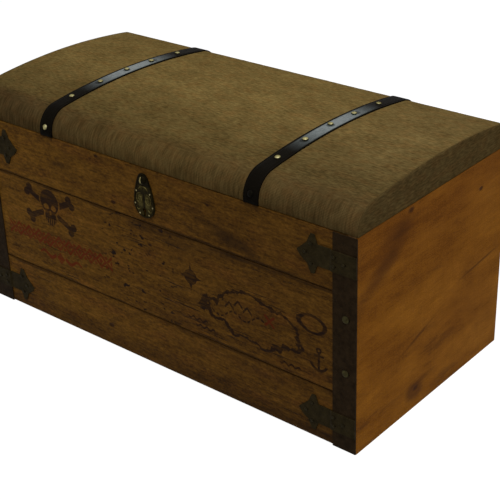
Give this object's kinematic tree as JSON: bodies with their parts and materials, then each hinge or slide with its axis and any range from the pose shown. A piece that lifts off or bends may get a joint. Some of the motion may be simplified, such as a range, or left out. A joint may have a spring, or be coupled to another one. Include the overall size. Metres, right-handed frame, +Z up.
{
  "type": "treasure chest",
  "caption": "Planked timber treasure chest with iron corner straps, spear brackets, a chest lock behind an escutcheon, and a hinged low-domed lid in cloth under leather straps, held by a stay.",
  "frame": {"origin": "middle of the underside, on the surface that the chest stands on", "axes": "+X to the right seen from the front, front towards -Y, +Z up"},
  "size_m": [0.9, 0.468, 0.4674],
  "materials": {
    "plank_timber": "dark waxed planks",
    "end_timber": "orange-brown waxed boards",
    "carcass_timber": "unfinished inside timber",
    "dark_iron": "blackened, slightly rusted",
    "old_brass": "tarnished, bright on the high spots",
    "hessian": "coarse olive-brown cloth",
    "black_leather": "black, semi-gloss",
    "lock_steel": "dull steel"
  },
  "bodies": {
    "chest": {"back_plank_bottom": "plank_timber", "back_plank_middle": "plank_timber", "back_plank_top": "plank_timber", "bottom_board": "carcass_timber", "corner_iron_left": "dark_iron", "corner_iron_right": "dark_iron", "corner_nails": "old_brass", "corner_post_back_left": "carcass_timber", "corner_post_back_right": "carcass_timber", "corner_post_front_left": "carcass_timber", "corner_post_front_right": "carcass_timber", "end_board_left": "end_timber", "end_board_right": "end_timber", "escutcheon_pins": "old_brass", "escutcheon_plate": "old_brass", "front_plank_bottom": "plank_timber", "front_plank_middle": "plank_timber", "front_plank_top": "plank_timber", "hinge_leaf_box_left": "lock_steel", "hinge_leaf_box_right": "lock_steel", "hinge_pin_left": "lock_steel", "hinge_pin_right": "lock_steel", "hinge_screws_box": "lock_steel", "iron_nails": "old_brass", "lock_case": "lock_steel", "lock_guide_studs": "lock_steel", "lock_screws": "lock_steel", "spear_bracket_bottom_left": "dark_iron", "spear_bracket_bottom_right": "dark_iron", "spear_bracket_top_left": "dark_iron", "spear_bracket_top_right": "dark_iron", "stay_screws_box": "lock_steel", "stay_stud_plate": "lock_steel"},
    "lid": {"cloth_cover": "hessian", "cloth_end_left": "hessian", "cloth_end_right": "hessian", "hinge_leaf_lid_left": "lock_steel", "hinge_leaf_lid_right": "lock_steel", "hinge_screws_lid": "lock_steel", "lid_gable_left": "carcass_timber", "lid_gable_right": "carcass_timber", "lid_rail_back": "carcass_timber", "lid_rail_front": "carcass_timber", "lid_stave_1": "carcass_timber", "lid_stave_2": "carcass_timber", "lid_stave_3": "carcass_timber", "lid_stave_4": "carcass_timber", "lid_stave_5": "carcass_timber", "lid_strap_left": "black_leather", "lid_strap_right": "black_leather", "stay_pivot_plate": "lock_steel", "stay_screws_lid": "lock_steel", "strap_nails": "old_brass", "strike_plate": "lock_steel", "strike_screws": "lock_steel"},
    "lid_stay": {"stay_arm": "lock_steel"},
    "lock_bolt": {"lock_bolt": "lock_steel"}
  },
  "joints": [
    {"name": "lid_hinge", "type": "hinge", "parent": "chest", "child": "lid", "pos_m": [0, 0.23, 0.40075], "axis": [-1, 0, 0], "range_deg": [0, 100]},
    {"name": "stay_pivot", "type": "hinge", "parent": "lid", "child": "lid_stay", "pos_m": [-0.424, 0.08108, 0.41875], "axis": [-1, 0, 0], "range_deg": [-50, 0]},
    {"name": "bolt_slide", "type": "slide", "parent": "chest", "child": "lock_bolt", "axis": [1, 0, 0], "range_m": [0, 0.009]}
  ],
  "couplings": [
    {"joint": "stay_pivot", "follows": "lid_hinge", "ratio": -0.5}
  ]
}
